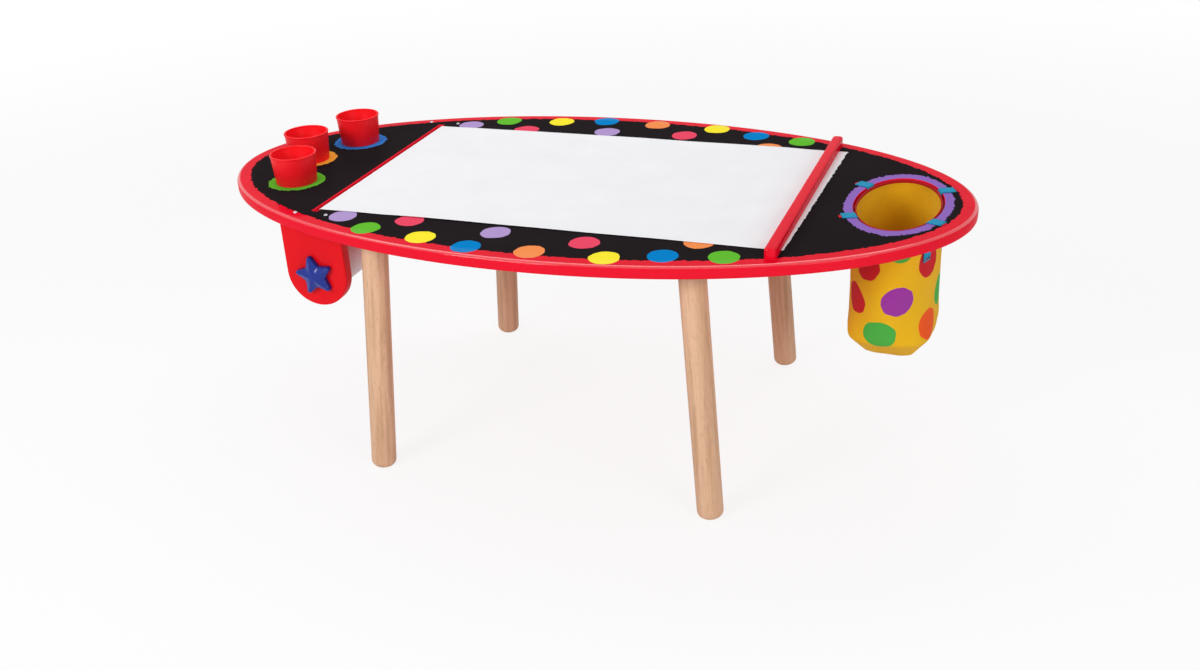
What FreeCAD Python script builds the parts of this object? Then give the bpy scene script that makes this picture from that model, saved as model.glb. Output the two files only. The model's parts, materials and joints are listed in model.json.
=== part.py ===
import FreeCAD, Part
import math
import os

# Children's oval art table: a board on four splayed dowel legs, with a paper roll hung under one end,
# a slot and a tear bar for the paper, three lift-out cups and a fabric bag in an oval hole.
# Millimetres. +Z is up, the origin is on the floor under the middle of the top,
# +X runs towards the bag, -X towards the cups and the roll, and -Y is the front.

V = FreeCAD.Vector
UP = V(0, 0, 1)

# Tabletop
top_length = 1300.0
top_width = 706.0
top_height = 450.0
top_thickness = 20.0
top_edge_radius = 6.0
under_edge = 4.0

# Legs and the steel plates that they screw into
leg_diameter = 43.0
leg_inset_x = 385.0
leg_inset_y = 98.0
leg_splay_x = 30.0
leg_splay_y = 19.0
foot_rounding = 12.0
plate_side = 80.0
plate_thickness = 2.5
plate_corner = 6.0
boss_diameter = 32.0
boss_height = 9.0
bolt_diameter = 8.0
bolt_in_leg = 35.0
bolt_in_boss = 7.5
bolt_fit = 0.1
bolt_sides = 12

# Paper, roll, spindle and brackets
paper_margin = 124.5
paper_thickness = 0.4
paper_gap = 0.3
roll_diameter = 80.0
core_wall = 2.5
core_fit = 0.4
spindle_diameter = 22.0
spindle_fit = 0.25
spindle_drop = 84.0
bracket_width = 112.0
bracket_thickness = 20.0
bracket_edge = 2.0
bracket_clearance = 12.1
slot_inset = 268.0
slot_width = 8.0
slot_side_clearance = 7.5
slot_edge = 1.2
web_bend_radius = 15.0
web_bend_drop = 6.0
paper_tail_front = 3.5
paper_tail_rear = 15.0

# Star knobs on the spindle's ends
star_point_radius = 40.0
star_notch_radius = 19.5
star_corner_radius = 4.0
star_thickness = 15.0
star_face_edge = 3.5
star_back_edge = 1.0
star_turn = 11.0
knob_gap = 0.5
tenon_diameter = 12.0
tenon_length = 9.0
tenon_fit = 0.1

# Tear bar
bar_to_bag = 145.0
bar_width = 18.0
bar_height = 17.0
bar_overhang = 37.5
bar_edge_radius = 4.0
bar_nose_radius = 6.0
bar_paper_room = 1.2
bar_side_clearance = 6.0

# Lift-out cups
cup_side_inset = 158.0
cup_side_y = 113.0
cup_middle_inset = 116.0
cup_rim_radius = 39.0
cup_seat_radius = 35.5
cup_spigot_radius = 33.0
cup_foot_radius = 30.5
cup_rise = 52.0
cup_depth = 46.0
cup_wall = 2.0
cup_lip_height = 3.2
cup_lip_reach = 1.2
cup_foot_rounding = 4.0
cup_sides = 30
cup_hole_fit = 0.6

# Fabric bag, its hole in the top and its straps
bag_inset = 120.5
hole_half_x = 69.0
hole_half_y = 117.0
hole_edge = 1.5
bag_gap = 3.0
bag_wall = 2.0
bag_straight_drop = 112.0
bag_taper_drop = 204.0
bag_depth = 245.0
bag_waist_draw = 28.0
bag_base_half_x = 36.0
bag_base_half_y = 50.0
bag_rim_drop = 6.0
binding_height = 5.0
binding_overlap = 0.4
bag_sides = 40
strap_width = 20.0
strap_thickness = 1.2
strap_gap = 0.3
strap_bend_radius = 2.5
strap_tab = 22.0
strap_drop = 65.0
strap_turn = 35.5
pad_width = 11.0
pad_thickness = 0.8
pad_show = 4.0

# Spans of an oval outline, each a pair of arcs
oval_spans = 8

# Sizes and places worked out from the sizes above; an inset is taken from the end or side of the top
half_length = top_length / 2
half_width = top_width / 2
under_z = top_height - top_thickness
leg_top_x = half_length - leg_inset_x
leg_top_y = half_width - leg_inset_y
paper_width = top_width - 2 * paper_margin
slot_x = slot_inset - half_length
bar_length = paper_width + 2 * bar_overhang
cup_side_x = cup_side_inset - half_length
cup_middle_x = cup_middle_inset - half_length
bag_x = half_length - bag_inset
bar_x = bag_x - bar_to_bag
spindle_z = under_z - spindle_drop
leg_radius = leg_diameter / 2
roll_radius = roll_diameter / 2
spindle_radius = spindle_diameter / 2
core_radius = spindle_radius + core_fit + core_wall
bracket_inner_y = paper_width / 2 + bracket_clearance
bracket_outer_y = bracket_inner_y + bracket_thickness
slot_length = paper_width + 2 * slot_side_clearance
bar_room_length = paper_width + 2 * bar_side_clearance
cup_hole_radius = cup_spigot_radius + cup_hole_fit
bag_half_x = hole_half_x - bag_gap
bag_half_y = hole_half_y - bag_gap
bag_rim_z = top_height - bag_rim_drop
bag_straight_z = top_height - bag_straight_drop
bag_taper_z = top_height - bag_taper_drop
bag_base_z = top_height - bag_depth
strap_low_z = top_height - strap_drop
cup_places = {
    "cup_front": (cup_side_x, -cup_side_y),
    "cup_middle": (cup_middle_x, 0.0),
    "cup_rear": (cup_side_x, cup_side_y),
}
leg_corners = {
    "front_left": (-1, -1),
    "front_right": (1, -1),
    "rear_left": (-1, 1),
    "rear_right": (1, 1),
}


def rod(radius, start, end):
    """A round rod between two points."""
    return Part.makeCylinder(radius, (end - start).Length, start, end - start)


def box_about(x, y, z_low, size_x, size_y, size_z):
    """A box centred on x and y, standing on z_low."""
    return Part.makeBox(size_x, size_y, size_z, V(x - size_x / 2, y - size_y / 2, z_low))


def tangent_arc(start, corner, end):
    """The arc that leaves one point and reaches another along the lines to a corner between them."""
    middle = (start + end) / 2
    half = (end - start).Length / 2
    rise = corner - middle
    turn = math.atan2(rise.Length, half)
    return Part.Arc(start, middle + rise.normalize() * (half * math.tan(turn / 2)), end).toShape()


def arc_pair(start, leaving, end, arriving):
    """Two arcs, smooth where they meet, between two points and along a direction at each."""
    chord = end - start
    both = leaving + arriving
    along = chord.dot(both)
    spread = 4 - both.dot(both)
    reach = (math.sqrt(along ** 2 + spread * chord.dot(chord)) - along) / spread
    first_corner, last_corner = start + leaving * reach, end - arriving * reach
    joint = (first_corner + last_corner) / 2
    return [tangent_arc(start, first_corner, joint), tangent_arc(joint, last_corner, end)]


def oval_wire(x, half_x, half_y, z):
    """An oval outline of smooth arcs that follows an ellipse, with its middle at x on the X axis."""
    edges = []
    for i in range(oval_spans):
        ends = []
        for t in (2 * math.pi * i / oval_spans, 2 * math.pi * (i + 1) / oval_spans):
            point = V(x + half_x * math.cos(t), half_y * math.sin(t), z)
            ends += [point, V(-half_x * math.sin(t), half_y * math.cos(t), 0).normalize()]
        edges += arc_pair(*ends)
    return Part.Wire(edges)


def oval_prism(x, half_x, half_y, z_low, height):
    """A straight oval block."""
    return Part.Face(oval_wire(x, half_x, half_y, z_low)).extrude(UP * height)


def facet_loft(x, y, sides, sections):
    """A solid of flat facets through oval sections, each given as its level and its two half sizes."""
    rings = []
    for z, half_x, half_y in sections:
        turns = [2 * math.pi * i / sides for i in range(sides)]
        rings.append([V(x + half_x * math.cos(t), y + half_y * math.sin(t), z) for t in turns])
    outlines = [rings[0], rings[-1]]
    for low, high in zip(rings, rings[1:]):
        for i in range(sides):
            outlines.append([low[i - 1], low[i], high[i]])
            outlines.append([low[i - 1], high[i], high[i - 1]])
    faces = [Part.Face(Part.makePolygon(points + points[:1])) for points in outlines]
    return Part.Solid(Part.Shell(faces)).removeSplitter()


def edges_on_level(shape, z, x_low, x_high):
    """The edges of a shape that lie flat at one level, between two values of X."""
    found = []
    for edge in shape.Edges:
        box = edge.BoundBox
        if abs(box.ZMin - z) < 1e-4 and abs(box.ZMax - z) < 1e-4 and box.XMin > x_low and box.XMax < x_high:
            found.append(edge)
    return found


def round_rim(shape, z, inward, radius):
    """Round the flat rim at one level in three narrow steps; inward is the way into the solid."""
    first = radius * (2 - math.sqrt(2))
    second = radius * (math.tan(math.pi / 8) - math.tan(math.pi / 16))
    shape = shape.makeChamfer(first, edges_on_level(shape, z, -top_length, top_length))
    rims = []
    for level in (z, z + inward * first):
        rims += edges_on_level(shape, level, -top_length, top_length)
    return shape.makeChamfer(second, rims)


def line(a, b):
    return Part.LineSegment(a, b).toShape()


def strip_edges(points, radii, side):
    """One face of a bent strip in the XZ plane: lines joined by arcs, set to the left of the path by side."""
    directions = [(b - a).normalize() for a, b in zip(points, points[1:])]
    left = [V(-d.z, 0, d.x) for d in directions]
    edges = []
    last = points[0] + left[0] * side
    for i, radius in enumerate(radii, 1):
        before, after = directions[i - 1], directions[i]
        turn = math.atan2(before.x * after.z - before.z * after.x, before.dot(after))
        reach = radius * math.tan(abs(turn) / 2)
        hand = math.copysign(1, turn)
        centre = points[i] - before * reach + left[i - 1] * (hand * radius)
        spoke = radius - hand * side
        start = centre - left[i - 1] * (hand * spoke)
        end = centre - left[i] * (hand * spoke)
        middle = centre - (left[i - 1] + left[i]).normalize() * (hand * spoke)
        edges.append(line(last, start))
        edges.append(Part.Arc(start, middle, end).toShape())
        last = end
    edges.append(line(last, points[-1] + left[-1] * side))
    return edges


def bent_strip(points, radii, thickness, width):
    """A flat strip bent along a path in the XZ plane, centred on Y."""
    near = V(0, -width / 2, 0)
    points = [point + near for point in points]
    one = strip_edges(points, radii, thickness / 2)
    other = strip_edges(points, radii, -thickness / 2)
    first = line(one[0].Vertexes[0].Point, other[0].Vertexes[0].Point)
    last = line(one[-1].Vertexes[-1].Point, other[-1].Vertexes[-1].Point)
    face = Part.Face(Part.Wire(Part.__sortEdges__(one + other + [first, last])))
    return face.extrude(V(0, width, 0))


def tangent_point(centre, radius, point):
    """Where a line from a point touches the left side of a circle in the XZ plane."""
    reach = point - centre
    turn = math.atan2(reach.z, reach.x) + math.acos(radius / reach.Length)
    return centre + V(radius * math.cos(turn), 0, radius * math.sin(turn))


def leg_line(side_x, side_y):
    """A leg's middle line: its foot on the floor, its head at the underside, and its direction."""
    head = V(side_x * leg_top_x, side_y * leg_top_y, under_z)
    foot = V(side_x * (leg_top_x + leg_splay_x), side_y * (leg_top_y + leg_splay_y), 0)
    return foot, head, (head - foot).normalize()


def make_tabletop():
    """The oval board, rounded on both rims, with the slot, the cup holes and the bag hole."""
    board = oval_prism(0, half_length, half_width, under_z, top_thickness)
    board = round_rim(board, top_height, -1, top_edge_radius)
    board = board.makeChamfer(under_edge, edges_on_level(board, under_z, -top_length, top_length))
    slot = box_about(slot_x, 0, under_z, slot_width, slot_length - slot_width, top_thickness)
    for end in (-1, 1):
        middle = V(slot_x, end * (slot_length - slot_width) / 2, under_z)
        slot = slot.fuse(Part.makeCylinder(slot_width / 2, top_thickness, middle))
    board = board.cut(slot.removeSplitter())
    board = board.cut(oval_prism(bag_x, hole_half_x, hole_half_y, under_z, top_thickness))
    slot_rim = edges_on_level(board, top_height, slot_x - slot_width, slot_x + slot_width)
    board = board.makeChamfer(slot_edge, slot_rim)
    hole_reach = hole_half_x + hole_edge
    hole_rim = edges_on_level(board, top_height, bag_x - hole_reach, bag_x + hole_reach)
    board = board.makeChamfer(hole_edge, hole_rim)
    for x, y in cup_places.values():
        board = board.cut(Part.makeCylinder(cup_hole_radius, top_thickness, V(x, y, under_z)))
    return board


def make_leg(side_x, side_y):
    """A straight dowel with a rounded foot, cut flat where it stands, and a bolt hole in its head."""
    foot, head, along = leg_line(side_x, side_y)
    flat_radius = leg_radius - foot_rounding
    dip = flat_radius * math.hypot(leg_splay_x, leg_splay_y) / under_z
    length = (head - foot).Length - boss_height + dip
    leg = round_rim(Part.makeCylinder(leg_radius, length), 0, 1, foot_rounding)
    deep = bolt_in_leg + bolt_fit
    leg = leg.cut(Part.makeCylinder(bolt_diameter / 2 + bolt_fit, deep, V(0, 0, length - deep)))
    leg.Placement = FreeCAD.Placement(foot - along * dip, FreeCAD.Rotation(UP, along))
    return leg.cut(box_about(foot.x, foot.y, -leg_diameter, 2 * leg_diameter, 2 * leg_diameter, leg_diameter))


def make_leg_plate(side_x, side_y):
    """A flat steel plate with a slanted boss that the leg's head seats on."""
    foot, head, along = leg_line(side_x, side_y)
    plate = box_about(head.x, head.y, under_z - plate_thickness, plate_side, plate_side, plate_thickness)
    plate = plate.makeChamfer(plate_corner, [edge for edge in plate.Edges if edge.BoundBox.ZLength > 1])
    seat = head - along * boss_height
    boss = rod(boss_diameter / 2, seat, head + along * boss_height)
    boss = boss.cut(box_about(head.x, head.y, under_z, plate_side, plate_side, 2 * boss_height))
    plate = plate.fuse(boss).removeSplitter()
    return plate.cut(rod(bolt_diameter / 2 + bolt_fit, seat, seat + along * (bolt_in_boss + bolt_fit)))


def make_hanger_bolts():
    """A headless bolt in each leg's head, held in the plate's boss."""
    bolts = []
    radius = bolt_diameter / 2
    for side_x, side_y in leg_corners.values():
        foot, head, along = leg_line(side_x, side_y)
        low, high = -boss_height - bolt_in_leg, bolt_in_boss - boss_height
        bolt = facet_loft(0, 0, bolt_sides, [(low, radius, radius), (high, radius, radius)])
        bolt.Placement = FreeCAD.Placement(head, FreeCAD.Rotation(UP, along))
        bolts.append(bolt)
    return Part.makeCompound(bolts)


def make_bracket():
    """The front bracket: a board with a round lower end about the spindle's bore, eased outside."""
    half = bracket_width / 2
    y = -bracket_outer_y
    left, right = V(slot_x - half, y, spindle_z), V(slot_x + half, y, spindle_z)
    outline = [
        line(V(left.x, y, under_z), left),
        Part.Arc(left, V(slot_x, y, spindle_z - half), right).toShape(),
        line(right, V(right.x, y, under_z)),
        line(V(right.x, y, under_z), V(left.x, y, under_z)),
    ]
    board = Part.Face(Part.Wire(outline)).extrude(V(0, bracket_thickness, 0))
    rims = []
    for edge in board.Edges:
        box = edge.BoundBox
        if box.YMax < y + 1e-4 and box.ZMin < under_z - 1e-4:
            rims.append(edge)
    board = board.makeChamfer(bracket_edge, rims)
    bore = rod(spindle_radius + spindle_fit, V(slot_x, y, spindle_z), V(slot_x, 0, spindle_z))
    return board.cut(bore)


def make_spindle():
    """The wooden dowel through both brackets and the core, with a tenon at each end for a knob."""
    reach = bracket_outer_y + knob_gap
    dowel = rod(spindle_radius, V(slot_x, -reach, spindle_z), V(slot_x, reach, spindle_z))
    tip = reach + tenon_length
    return dowel.fuse(rod(tenon_diameter / 2, V(slot_x, -tip, spindle_z), V(slot_x, tip, spindle_z)))


def make_star_knob():
    """The front knob: a thick star of five round points with a bevelled face, socketed on the tenon."""
    fifth = 2 * math.pi / 5
    notch_x = star_notch_radius * math.cos(fifth / 2)
    notch_y = star_notch_radius * math.sin(fifth / 2)
    tip_half = math.atan2(notch_y, star_point_radius - notch_x)
    tip_centre = star_point_radius - star_corner_radius / math.sin(tip_half)
    points = []
    for i in range(5):
        turn = math.radians(90 + star_turn) + fifth * i
        centre = V(tip_centre * math.cos(turn), tip_centre * math.sin(turn), 0)
        for step in (-1, -0.5, 0, 0.5, 1):
            facing = turn + step * (math.pi / 2 - tip_half)
            points.append(centre + V(math.cos(facing), math.sin(facing), 0) * star_corner_radius)
        notch = turn + fifth / 2
        points.append(V(math.cos(notch), math.sin(notch), 0) * star_notch_radius)
    star = Part.Face(Part.makePolygon(points + points[:1])).extrude(UP * star_thickness)
    for z, size in ((star_thickness, star_face_edge), (0, star_back_edge)):
        star = star.makeChamfer(size, edges_on_level(star, z, -star_point_radius, star_point_radius))
    star = star.cut(Part.makeCylinder(tenon_diameter / 2 + tenon_fit, tenon_length + tenon_fit))
    place = V(slot_x, -bracket_outer_y - knob_gap, spindle_z)
    star.Placement = FreeCAD.Placement(place, FreeCAD.Rotation(V(1, 0, 0), 90))
    return star


def ring_along_y(inner, outer):
    """A tube on the spindle's line, as long as the paper is wide."""
    start, end = V(slot_x, -paper_width / 2, spindle_z), V(slot_x, paper_width / 2, spindle_z)
    return rod(outer, start, end).cut(rod(inner, start, end))


def make_paper_sheet():
    """The paper from the roll, up through the slot, over its eased edge and along the top under the bar."""
    lift = paper_gap + paper_thickness / 2
    rise_x = slot_x + slot_width / 2 - lift
    bend = V(rise_x, 0, under_z - web_bend_drop)
    start = tangent_point(V(slot_x, 0, spindle_z), roll_radius + lift, bend)
    corner = V(rise_x, 0, top_height + lift)
    bar_far_x = bar_x + bar_width / 2
    end = V(bar_far_x + paper_tail_rear, 0, top_height + lift)
    bends = [web_bend_radius, slot_edge + lift]
    sheet = bent_strip([start, bend, corner, end], bends, paper_thickness, paper_width)
    torn = [
        V(bar_far_x + paper_tail_front, -paper_width / 2, top_height),
        V(bar_far_x + paper_tail_rear, paper_width / 2, top_height),
        V(bar_far_x + paper_tail_rear, -paper_width / 2, top_height),
    ]
    return sheet.cut(Part.Face(Part.makePolygon(torn + torn[:1])).extrude(UP * bar_height))


def make_tear_bar():
    """The bar across the paper: rounded on top and at its ends, cut away underneath for the paper."""
    bar = box_about(bar_x, 0, top_height, bar_width, bar_length, bar_height)
    bar = bar.makeFillet(bar_nose_radius, [edge for edge in bar.Edges if edge.BoundBox.ZLength > 1])
    bar = round_rim(bar, top_height + bar_height, -1, bar_edge_radius)
    return bar.cut(box_about(bar_x, 0, top_height, 2 * bar_width, bar_room_length, bar_paper_room))


def round_form(x, y, pairs):
    """A round solid of flat facets through pairs of a level and a radius."""
    return facet_loft(x, y, cup_sides, [(z, radius, radius) for z, radius in pairs])


def make_cup(x, y):
    """A tapered cup with a thick lip and a shoulder that rests on the top round its hole."""
    floor_z, seat_z, rim_z = top_height - cup_depth, top_height, top_height + cup_rise
    lip_z = rim_z - cup_lip_height
    lip_radius = cup_rim_radius + cup_lip_reach
    spigot = [
        (floor_z, cup_foot_radius - cup_foot_rounding / 2),
        (floor_z + cup_foot_rounding, cup_foot_radius),
        (seat_z, cup_spigot_radius),
    ]
    wall = [
        (seat_z, cup_seat_radius),
        (lip_z, cup_rim_radius),
        (lip_z + cup_lip_height / 4, lip_radius),
        (rim_z - cup_lip_height / 4, lip_radius),
        (rim_z, cup_rim_radius),
    ]
    inside = [
        (floor_z + cup_wall, cup_foot_radius - cup_wall),
        (seat_z - cup_wall, cup_spigot_radius - cup_wall),
        (rim_z, cup_rim_radius - cup_wall),
    ]
    return round_form(x, y, spigot).fuse(round_form(x, y, wall)).cut(round_form(x, y, inside))


def bag_form(inset, floor_z, rim_z):
    """The bag's outside, or its inside where inset by the wall: upright, then drawn in to its base."""
    sections = [
        (rim_z, bag_half_x, bag_half_y),
        (bag_straight_z, bag_half_x, bag_half_y),
        (bag_taper_z, bag_half_x, bag_half_y - bag_waist_draw),
        (floor_z, bag_base_half_x, bag_base_half_y),
    ]
    sections = [(z, half_x - inset, half_y - inset) for z, half_x, half_y in sections]
    return facet_loft(bag_x, 0, bag_sides, sections)


def make_bag():
    """The open fabric bag."""
    return bag_form(0, bag_base_z, bag_rim_z).cut(bag_form(bag_wall, bag_base_z + bag_wall, bag_rim_z))


def make_binding():
    """The binding sewn round the bag's mouth."""
    loops = []
    for grow in (binding_overlap, -bag_wall - binding_overlap):
        levels = (bag_rim_z, bag_rim_z + binding_height)
        sections = [(z, bag_half_x + grow, bag_half_y + grow) for z in levels]
        loops.append(facet_loft(bag_x, 0, bag_sides, sections))
    return loops[0].cut(loops[1])


def strap_place(side_x, side_y):
    """A strap's place on the bag's outside, and the way that faces out of the bag there."""
    t = math.radians(strap_turn)
    point = V(bag_x + side_x * bag_half_x * math.cos(t), side_y * bag_half_y * math.sin(t), 0)
    outward = V(side_x * math.cos(t) / bag_half_x, side_y * math.sin(t) / bag_half_y, 0).normalize()
    return FreeCAD.Placement(point, FreeCAD.Rotation(V(1, 0, 0), outward))


def make_strap(side_x, side_y):
    """A strap sewn to the bag's outside, led up past the hole's wall and folded out on to the top."""
    out = binding_overlap + strap_gap + strap_thickness / 2
    lay_z = top_height + pad_thickness + strap_thickness / 2
    path = [V(out, 0, strap_low_z), V(out, 0, lay_z), V(bag_gap + strap_tab, 0, lay_z)]
    strap = bent_strip(path, [strap_bend_radius], strap_thickness, strap_width)
    strap.Placement = strap_place(side_x, side_y)
    return strap


def make_strap_pads():
    """The fastening pads that hold the straps' ends to the top, each with a tongue past the strap."""
    pads = []
    inner = bag_gap + strap_tab / 2
    for side_x, side_y in leg_corners.values():
        near = V(inner, -pad_width / 2, top_height)
        pad = Part.makeBox(strap_tab / 2 + pad_show, pad_width, pad_thickness, near)
        pad.Placement = strap_place(side_x, side_y)
        pads.append(pad)
    return Part.makeCompound(pads)


def save(node, shape):
    shape.exportStep("parts/" + node + ".step")


os.makedirs("parts", exist_ok=True)
save("tabletop", make_tabletop())
for corner, sides in leg_corners.items():
    save("leg_" + corner, make_leg(*sides))
    save("leg_plate_" + corner, make_leg_plate(*sides))
    save("bag_strap_" + corner, make_strap(*sides))
save("hanger_bolts", make_hanger_bolts())
front_bracket = make_bracket()
save("roll_bracket_front", front_bracket)
save("roll_bracket_rear", front_bracket.mirror(V(0, 0, 0), V(0, 1, 0)))
save("spindle", make_spindle())
front_knob = make_star_knob()
save("star_knob_front", front_knob)
save("star_knob_rear", front_knob.mirror(V(0, 0, 0), V(0, 1, 0)))
save("core_tube", ring_along_y(spindle_radius + core_fit, core_radius))
save("paper_roll", ring_along_y(core_radius, roll_radius))
save("paper_sheet", make_paper_sheet())
save("tear_bar", make_tear_bar())
for cup, place in cup_places.items():
    save(cup, make_cup(*place))
save("fabric_bag", make_bag())
save("bag_binding", make_binding())
save("strap_pads", make_strap_pads())
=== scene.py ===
import json
import random
from math import acos, atan2, ceil, copysign, cos, hypot, pi, radians, sin, tan

import bmesh
import bpy
from mathutils import Matrix, Vector, noise


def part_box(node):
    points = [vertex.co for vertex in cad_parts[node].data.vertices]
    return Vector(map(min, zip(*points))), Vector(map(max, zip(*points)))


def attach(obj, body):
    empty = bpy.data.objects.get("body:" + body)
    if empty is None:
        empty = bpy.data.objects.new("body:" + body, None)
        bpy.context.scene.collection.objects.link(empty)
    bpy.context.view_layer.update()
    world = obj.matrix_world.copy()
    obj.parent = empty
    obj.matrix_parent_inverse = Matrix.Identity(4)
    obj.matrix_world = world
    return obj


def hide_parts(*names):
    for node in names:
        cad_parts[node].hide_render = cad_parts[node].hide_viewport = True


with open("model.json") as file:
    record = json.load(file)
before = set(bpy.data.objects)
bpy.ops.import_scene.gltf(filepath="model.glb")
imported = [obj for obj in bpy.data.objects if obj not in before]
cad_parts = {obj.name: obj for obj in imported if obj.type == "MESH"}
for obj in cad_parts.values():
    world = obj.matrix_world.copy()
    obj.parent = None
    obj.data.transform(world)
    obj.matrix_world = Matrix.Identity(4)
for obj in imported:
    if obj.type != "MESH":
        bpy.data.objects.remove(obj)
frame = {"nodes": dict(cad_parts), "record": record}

# A children's oval art table, in metres. +X runs towards the bag, -X towards the cups and the roll,
# and -Y is the front. Places come from the frame; the values below are the sizes of features.

MM = 0.001
UP = Vector((0, 0, 1))
CORNERS = ["front_left", "front_right", "rear_left", "rear_right"]
SIDES = [("front", -1), ("rear", 1)]
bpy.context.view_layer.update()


def middle_of(node):
    """The middle of a node's box, as X and Y."""
    low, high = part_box(node)
    return (low.x + high.x) / 2, (low.y + high.y) / 2


# The board
board_low, board_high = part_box("tabletop")
half_length, half_width = board_high.x, board_high.y
top_z, under_z = board_high.z, board_low.z
rim_radius = 6 * MM
rim_points = 360
under_radius = 4 * MM
flat_band = 5 * MM
hole_band = 1 * MM
slot_half_width = 4 * MM
slot_end_radius = 3.99 * MM
slot_edge = 1.2 * MM
bag_hole_edge = 1.5 * MM
bag_hole_points = 160
cup_hole_edge = 0.8 * MM
cup_hole_points = 64

# The legs, their plates and screws
leg_radius = 21.5 * MM
leg_sides = 48
leg_parts = 6
leg_head_edge = 1 * MM
foot_rounding = 12 * MM
boss_height = 9 * MM
plate_thickness = 2.5 * MM
plate_screw_reach = 30 * MM
screw_radius = 3.4 * MM
screw_sides = 16
screw_recess = 0.12
SCREW_HEAD = [(1, 0), (0.97, 0.25), (0.8, 0.44), (0.6, 0.52), (0.38, 0.5), (0.16, 0.1)]

# The paper, its roll and the brackets
sheet_low, sheet_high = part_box("paper_sheet")
paper_half = sheet_high.y
slot_half_length = paper_half + 7.5 * MM
paper_thickness = 0.4 * MM
paper_gap = 0.3 * MM
paper_run = 12 * MM
paper_columns = 200
web_bend_radius = 15 * MM
web_bend_drop = 6 * MM
tail_front = 3.5 * MM
tail_rear = 15 * MM
tail_rows = 3
torn_jag = 0.8 * MM
torn_wave = 1.6 * MM
flat_past_slot = 50 * MM
flat_before_bar = 12 * MM
slack_rise = 70 * MM
slack_fall = 80 * MM
slack_wave = 1.1 * MM
edge_curl = 1.8 * MM
edge_sway = 0.8 * MM
curl_zone = 0.14
roll_low, roll_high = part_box("paper_roll")
core_low, core_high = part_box("core_tube")
spindle_x = middle_of("paper_roll")[0]
spindle_z = (roll_low.z + roll_high.z) / 2
roll_radius = (roll_high.z - roll_low.z) / 2
core_radius = (core_high.z - core_low.z) / 2
roll_layers = 26
roll_sides = 96
layer_stagger = 0.7 * MM
bracket_edge = 2.5 * MM
bracket_arc_parts = 48
bracket_screw_reach = 28.7 * MM

# The star knobs
star_points = 5
star_point_radius = 40 * MM
star_notch_radius = 19.5 * MM
star_tip_radius = 4 * MM
star_tip_parts = 8
star_run = 1.6 * MM
star_back_edge = 1 * MM
star_bevel = 3.3 * MM
star_dome = 5.5 * MM
star_turn = radians(11)
DOME_SHARES = [0.9, 0.75, 0.58, 0.4, 0.2]

# The tear bar
bar_low, bar_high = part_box("tear_bar")
bar_edge_radius = 4 * MM
bar_nose_radius = 6 * MM
bar_paper_room = 1.2 * MM
bar_room_half = paper_half + 6 * MM
bar_room_step = 0.2 * MM
bar_screw_inset = 14 * MM

# The cups; their seat's edges are multiples of the gap under it
cup_names = ["cup_front", "cup_middle", "cup_rear"]
cup_sides = 72
cup_spigot_radius = 33 * MM
cup_seat_radius = 35.5 * MM
cup_seat_gap = 0.1 * MM
cup_foot_radius = 30.3 * MM
cup_foot_rounding = 3.5 * MM
cup_foot_band = 9 * MM
cup_hollow = 1 * MM
cup_wall = 2 * MM
cup_lip_half = 1.6 * MM
cup_lip_parts = 10
cup_hole_fit = 0.6 * MM

# The bag, its binding and straps
bag_low, bag_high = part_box("fabric_bag")
binding_low, binding_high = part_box("bag_binding")
bag_x = middle_of("fabric_bag")[0]
bag_half_x = (bag_high.x - bag_low.x) / 2
bag_half_y = bag_high.y
bag_gap = 3 * MM
bag_wall = 1.6 * MM
bag_straight_z = top_z - 112 * MM
bag_taper_z = top_z - 204 * MM
bag_waist_draw = 21 * MM
bag_base_half_x = 41 * MM
bag_base_half_y = 54 * MM
bag_base_z = bag_low.z + 6 * MM
bag_base_squareness = 3.4
bag_bend_run = 14 * MM
bag_columns = 168
bag_turn_step = 0.02
bag_fullness = 3.2 * MM
bag_hole_room = 0.8 * MM
cloth_run = 5 * MM
rim_fade = 10 * MM
board_fade = 14 * MM
base_fade = 45 * MM
strap_hold = 12 * MM
strap_hold_fade = 14 * MM
strap_end_fade = 20 * MM
fold_depth = 3 * MM
gather_count = 7
gather_depth = 0.7 * MM
crease_depth = 1 * MM
fold_length = 140 * MM
binding_wrap = 2.4 * MM
binding_over = 0.4 * MM
binding_columns = 180
binding_parts = 8
pucker_count = 60
pucker_depth = 0.12 * MM
pucker_drift = 0.25 * MM
stitch_length = 2.4 * MM
stitch_height = 1.4 * MM
stitch_sink = 0.12 * MM
stitch_radius = 0.32 * MM
strap_low_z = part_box("bag_strap_front_left")[0].z
fold_top_z = strap_low_z + 15 * MM
strap_half_width = 10 * MM
strap_half_columns = 4
strap_thickness = 1.2 * MM
strap_stand_off = 1.3 * MM
strap_bend_radius = 2.5 * MM
strap_tab = 22 * MM
strap_turn = radians(35.5)
strap_ripple = 0.25 * MM
strap_edge_dip = 0.2 * MM
pad_thickness = 0.8 * MM
pad_half_width = 5.5 * MM
pad_half_length = (strap_tab / 2 + 4 * MM) / 2
pad_corner = 2 * MM
tack_spread = 0.86 * strap_half_width
tack_height = 4 * MM
tack_length = 5 * MM
tack_radius = 0.5 * MM
thread_sides = 6
THREAD_FORM = [(-0.5, 0.35), (-0.4, 0.8), (0, 1), (0.4, 0.8), (0.5, 0.35)]


def rgb(red, green, blue):
    """A screen colour from 0 to 255 as a shader colour."""
    linear = []
    for part in (red, green, blue):
        part /= 255
        linear.append(part / 12.92 if part <= 0.04045 else ((part + 0.055) / 1.055) ** 2.4)
    return (*linear, 1)


def shade(colour, factor):
    """A colour made darker or lighter."""
    return (*[min(1, part * factor) for part in colour[:3]], 1)


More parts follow.
